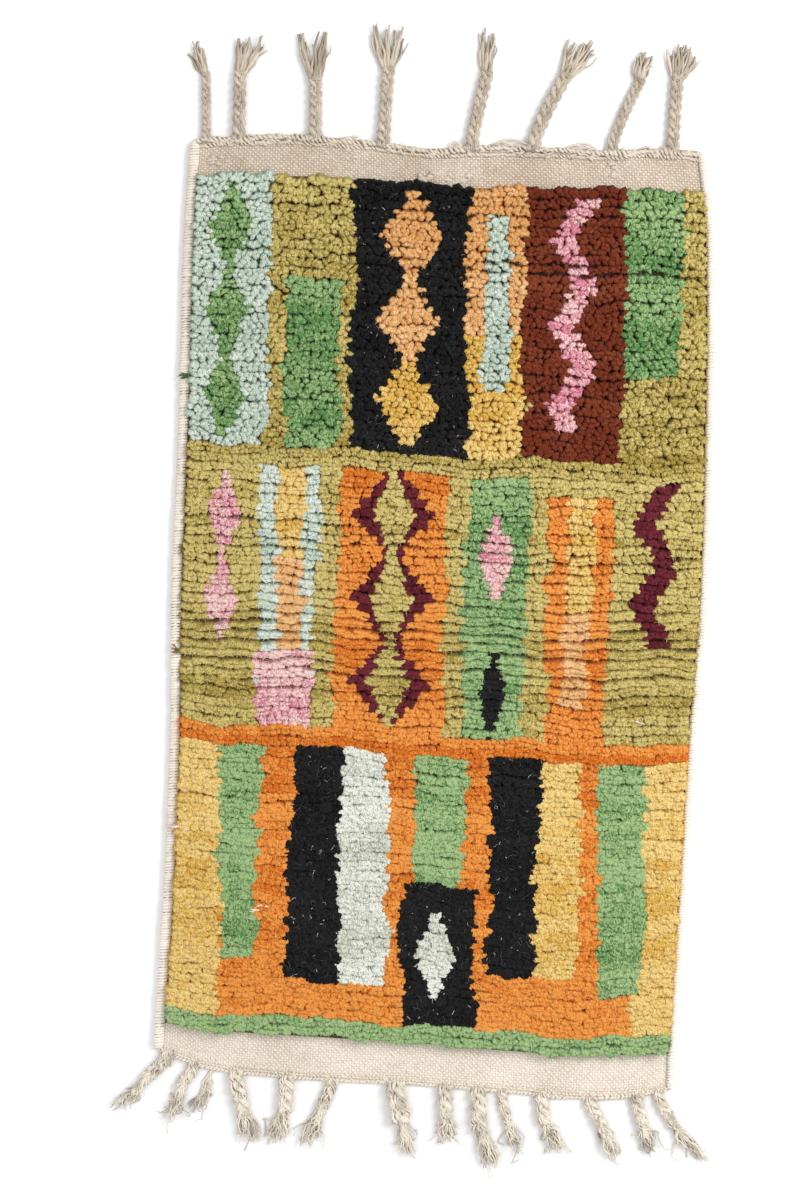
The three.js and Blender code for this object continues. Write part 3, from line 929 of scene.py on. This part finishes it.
TOP_TASSELS = table(
    "root neck neck_out tip tip_out width fan locks",
    (-281, -284, 73, -297, 110, 10, 8, 10),
    (-244, -245, 72, -235, 116, 14, 15, 18),
    (-157, -159, 66, -164, 121, 14, 17, 18),
    (-79, -76, 84, -78, 134, 14, 20, 20),
    (22, 37, 84, 36, 137, 14, 9, 15),
    (92, 127, 83, 143, 123, 15, 16, 18),
    (182, 212, 80, 214, 115, 12, 11, 14),
    (251, 254, 81, 258, 120, 14, 17, 18),
)
PLAIT_STRANDS = 3
YARNS_IN_STRAND = 7
TOP_FULLNESS = 1.12
BRUSH_SIDES = 4
PLAIT_PITCH = 2.1
PLAIT_FLATNESS = 0.66
PLAIT_STEP = 2.1
ROOT_IN = 4
STRAIGHT_SHARE = 0.12
BINDING_TURNS = 3.2
BINDING_RADIUS = 1.05
BINDING_REACH = 2.4


def bowed(root, start, neck, steps):
    """A smooth path from the root, straight out for a little, and on to the neck."""
    t = np.linspace(0, 1, steps)[:, None]
    straight = root + (start - root) * 1.6
    return (1 - t) ** 2 * root + 2 * t * (1 - t) * straight + t**2 * neck


def plait(path, width, rough, fullness):
    """Three strands of several yarns, each crossing over the middle in turn."""
    steps = len(path)
    width = width * fullness
    along = np.gradient(path, axis=0)
    along /= np.linalg.norm(along, axis=1, keepdims=True)
    sideways = np.stack([along[:, 1], -along[:, 0]], -1)
    gone = np.concatenate([[0], np.cumsum(np.linalg.norm(np.diff(path, axis=0), axis=1))])
    strand = width * 0.21
    yarn = strand * 0.35
    height = width * PLAIT_FLATNESS
    paths = []
    for k in range(PLAIT_STRANDS):
        phase = 2 * math.pi * (gone / (PLAIT_PITCH * width) + k / PLAIT_STRANDS)
        shift = (width / 2 - strand) * np.sin(phase)
        lift = height / 2 + (height / 2 - strand) * np.sin(2 * phase)
        for j in range(YARNS_IN_STRAND):
            twist = 2 * math.pi * (gone / (1.4 * width) + j / YARNS_IN_STRAND)
            reach = shift + (strand - yarn) * 1.15 * np.cos(twist)
            rise = np.maximum(lift + (strand - yarn) * 1.15 * np.sin(twist), yarn)
            strayed = path + sideways * (reach + wander(steps, rough))[:, None]
            paths.append(np.concatenate([strayed, rise[:, None]], 1))
    thick = yarn * np.clip(1 + draw.normal(0, 0.05, (len(paths), steps)), 0.8, 1.2)
    return tubes(paths, thick, BRUSH_SIDES, tone=draw.uniform(0.65, 1.15, (len(paths), 1)))


def binding(neck, direction, width):
    """A few turns of yarn round the neck."""
    steps = 34
    turn = np.linspace(0, BINDING_TURNS * 2 * math.pi, steps)
    sideways = np.array([direction[1], -direction[0]])
    height = width * PLAIT_FLATNESS
    reach = width * 0.40
    rise = height * 0.42
    place = neck + sideways * (reach * np.cos(turn))[:, None]
    place = place + direction * np.linspace(-BINDING_REACH, BINDING_REACH, steps)[:, None]
    path = np.concatenate([place, (height / 2 + 0.3 + rise * np.sin(turn))[:, None]], 1)
    return tubes([path], BINDING_RADIUS, TWINE_SIDES, reference=(*direction, 0))


def brush(neck, direction, tips, width, radius, curl, bulk, steps=12, crimp=0):
    """Loose yarn ends that fan out from the neck and come to rest on the floor."""
    count = len(tips)
    t = np.linspace(0, 1, steps)[None, :, None]
    sideways = np.array([direction[1], -direction[0]])
    spread = np.sort(draw.uniform(-0.34, 0.34, count)) * width
    start = neck - direction * 3 + sideways * spread[:, None]
    reach = ((tips - start) @ direction)[:, None] * direction
    bend = start + 0.4 * reach + 0.6 * (tips - start - reach)
    path = (1 - t) ** 2 * start[:, None] + 2 * t * (1 - t) * bend[:, None] + t**2 * tips[:, None]
    phase = draw.uniform(0, 2 * math.pi, (count, 1, 2))
    waves = draw.uniform(0.8, 2.0, (count, 1, 2))
    path = path + curl * draw.uniform(0.3, 1, (count, 1, 1)) * t * np.sin(2 * math.pi * waves * t + phase)
    path = path + crimp * np.sin(2 * math.pi * draw.uniform(3, 4.5, (count, 1, 1)) * t - phase)
    height = width * PLAIT_FLATNESS
    top = draw.uniform(0.2, 0.85, (count, 1)) * height
    rest = draw.uniform(0.9, bulk, (count, 1))
    lift = mix(top, rest, np.clip(t[..., 0] * 1.4, 0, 1) ** 0.8)
    swell = 0.8 + 0.35 * np.sin(math.pi * np.clip(t[..., 0] * 1.1, 0, 1)) - 0.25 * t[..., 0] ** 3
    thick = radius * draw.uniform(0.75, 1.25, (count, 1)) * swell
    lift = np.maximum(lift, thick)
    tone = draw.uniform(0.45, 1.15, (count, 1))
    return tubes(np.concatenate([path, lift[..., None]], 2), thick, BRUSH_SIDES, tone=tone)


def gathered(root, outward, width, reach):
    """Warps that come out of the cloth's edge side by side and draw together into the tassel."""
    count = round(width * 0.9)
    t = np.linspace(0, 1, 8)[None, :, None]
    place = np.sort(draw.uniform(-1, 1, count))[:, None]
    start = root + np.concatenate([place * width * reach, -outward * draw.uniform(0, 3, (count, 1))], 1)
    stop = root + np.concatenate([place * width * 0.3, outward * draw.uniform(13, 19, (count, 1))], 1)
    path = mix(start[:, None], stop[:, None], t * (1.6 - 0.6 * t))
    rise = mix(CLOTH_TOP + 0.5, width * PLAIT_FLATNESS * draw.uniform(0.3, 0.9, (count, 1)), t[..., 0])
    tone = draw.uniform(0.45, 1.1, (count, 1))
    return tubes(np.concatenate([path, rise[..., None]], 2), 0.95, BRUSH_SIDES, tone=tone)


def laid(row, edge, outward):
    """Where a tassel leaves the cloth, its path to the neck, and the way it points there."""
    seat = float(end(edge, row["root"]))
    root = np.array([row["root"], seat - ROOT_IN * outward])
    start = np.array([row["root"], seat + STRAIGHT_SHARE * row["neck_out"] * outward])
    neck = np.array([row["neck"], seat + row["neck_out"] * outward])
    path = bowed(root, start, neck, max(9, round(row["neck_out"] / PLAIT_STEP)))
    direction = path[-1] - path[-2]
    return seat, path, direction / np.linalg.norm(direction)


def top_tassel(number, row):
    seat, path, direction = laid(row, "top_edge", 1)
    neck = path[-1]
    count = int(row["locks"])
    spread = np.sort(draw.uniform(-1, 1, count))
    reach = mix(row["neck_out"], row["tip_out"], draw.uniform(0.62, 1.0, count))
    tips = np.stack([row["tip"] + row["fan"] * spread, seat + reach], -1)
    parts = [
        plait(path, row["width"], rough=0.15, fullness=TOP_FULLNESS),
        gathered(path[0], 1, row["width"], reach=0.6),
        binding(neck, direction, row["width"]),
        brush(neck, direction, tips, row["width"], radius=1.9, curl=2.4, bulk=5.5, crimp=0.25),
    ]
    stray = np.array([[row["tip"] + 1.25 * row["fan"], seat + row["tip_out"] * 0.86]])
    parts.append(brush(neck, direction, stray, row["width"], radius=0.8, curl=3.0, bulk=3))
    return bundle(f"plait_top_{number}", parts)


plait_wool = plain_yarn("plaited_warp", "8d7d68", "ece0cd", grain=1300, soil=60, soiled=0.8)
for i, row in enumerate(TOP_TASSELS, 1):
    dress(top_tassel(i, row), plait_wool, "ivory_wool", f"top_tassel_{i}")

# The bottom tassels
# At the foot the warps are shorter and only roughly plaited or twisted. Their ends have frayed into curls,
# and a few yarns have come away on their own.

BOTTOM_TASSELS = table(
    "root neck neck_out tip tip_out width fan locks",
    (-288, -314, 30, -341, 62, 12, 11, 39),
    (-258, -274, 27, -284, 66, 11, 9, 29),
    (-236, -241, 24, -256, 50, 6, 7, 7),
    (-210, -201, 40, -188, 78, 14, 11, 48),
    (-152, -153, 38, -162, 76, 14, 11, 48),
    (-100, -114, 38, -128, 76, 11, 10, 33),
    (-28, -19, 42, -8, 80, 18, 9, 53),
    (29, 32, 33, 35, 64, 14, 12, 42),
    (67, 70, 44, 86, 87, 15, 10, 53),
    (94, 104, 38, 116, 68, 9, 7, 23),
    (139, 144, 30, 161, 64, 13, 12, 42),
    (195, 212, 32, 226, 66, 12, 10, 39),
    (248, 256, 30, 265, 62, 12, 10, 39),
    (272, 292, 37, 324, 76, 10, 10, 33),
)
LOOSE_WIDTH = 7
WILD_YARNS = 4
BOTTOM_FULLNESS = 1.3


def bottom_tassel(number, row):
    seat, path, direction = laid(row, "bottom_edge", -1)
    root = path[0]
    neck = path[-1]
    count = int(row["locks"])
    spread = np.sort(draw.uniform(-1, 1, count))
    reach = mix(row["neck_out"], row["tip_out"], draw.uniform(0.45, 1.0, count))
    tips = np.stack([row["tip"] + row["fan"] * spread, seat - reach], -1)
    gone = (reach - row["neck_out"]) / (row["tip_out"] - row["neck_out"])
    tips[:, 0] += (row["neck"] - row["tip"]) * (1 - gone)
    high = neck + (root - neck) * 0.3
    wild = tips[:: max(1, count // WILD_YARNS)]
    wild = wild + draw.normal(0, 7, wild.shape)
    width = row["width"]
    parts = [
        brush(high, direction, tips, width * 1.5, radius=1.05, curl=5.0, bulk=9, steps=18, crimp=1.1),
        brush(neck, direction, wild, width, radius=0.8, curl=9.0, bulk=6, steps=18, crimp=1.0),
    ]
    if width > LOOSE_WIDTH:
        parts.append(plait(path, width, rough=0.7, fullness=BOTTOM_FULLNESS))
        parts.append(gathered(root, -1, width, reach=0.85))
    else:
        parts.append(brush(root, direction, tips, width, radius=1.0, curl=4.0, bulk=3, steps=22, crimp=0.6))
    return bundle(f"tassel_bottom_{number}", parts)


frayed_wool = plain_yarn("frayed_warp", "6b573f", "f3e9d8", grain=1300, soil=70, soiled=1.4)
for i, row in enumerate(BOTTOM_TASSELS, 1):
    dress(bottom_tassel(i, row), frayed_wool, "ivory_wool", f"bottom_tassel_{i}")

# The rug as one laid cloth
# Everything above is woven, knotted or plaited from one wool cloth. It isn't fixed to anything, and lies flat
# on the floor as it came off the loom.

# The studio
# A plain white floor, with soft light from the right and a weaker fill from the left. The rug is seen from
# straight above, a little askew.

FRAME_HEIGHT = 1.370
VIEW_CENTRE = (-41.6, 11.7)
ASKEW = 2.0
CAMERA_HEIGHT = 2.6
SENSOR = 36
FLOOR_REACH = 30
FLOOR_CORNERS = 96
FLOOR_TONES = ((0.88, 0.88, 0.88, 1), (0.92, 0.92, 0.92, 1))
SURROUND_LIGHT = 0.68
LAMPS = [
    # name, place, size, power
    ("key", (1.7, 0.7, 1.8), 1.3, 48),
    ("fill", (-1.4, -0.5, 2.4), 2.6, 22),
]

turn = np.linspace(0, 2 * math.pi, FLOOR_CORNERS, endpoint=False)
rim = np.stack([FLOOR_REACH * np.cos(turn), FLOOR_REACH * np.sin(turn), 0 * turn], -1).tolist()
floor_mesh = bpy.data.meshes.new("floor")
floor_mesh.from_pydata(rim, [], [tuple(range(len(rim)))])
floor = bpy.data.objects.new("floor", floor_mesh)
bpy.context.scene.collection.objects.link(floor)
paint = Paint("pale_floor")
speck = paint.noise(3, 2)
pale = paint.blend(*FLOOR_TONES, speck)
floor_mesh.materials.append(paint.wool(pale, paint.bump(speck, 0.0001), roughness=0.8, sheen=0))

centre = ORIGIN[:2] + np.array(VIEW_CENTRE) * MM
camera = bpy.data.objects.new("camera", bpy.data.cameras.new("camera"))
camera.data.sensor_width = SENSOR
camera.data.lens = SENSOR * CAMERA_HEIGHT / FRAME_HEIGHT
camera.location = (*centre, CAMERA_HEIGHT)
camera.rotation_euler = (0, 0, math.radians(ASKEW))
bpy.context.scene.collection.objects.link(camera)
bpy.context.scene.camera = camera

for name, place, size, power in LAMPS:
    lamp = bpy.data.lights.new(name, "AREA")
    lamp.size = size
    lamp.energy = power
    holder = bpy.data.objects.new(name, lamp)
    holder.location = place
    holder.rotation_euler = (-holder.location).to_track_quat("-Z", "Y").to_euler()
    bpy.context.scene.collection.objects.link(holder)

world = bpy.data.worlds.new("studio")
bpy.context.scene.world = world
world.use_nodes = True
world.node_tree.nodes["Background"].inputs["Color"].default_value = (1, 1, 1, 1)
world.node_tree.nodes["Background"].inputs["Strength"].default_value = SURROUND_LIGHT
bpy.context.scene.view_settings.view_transform = "Standard"
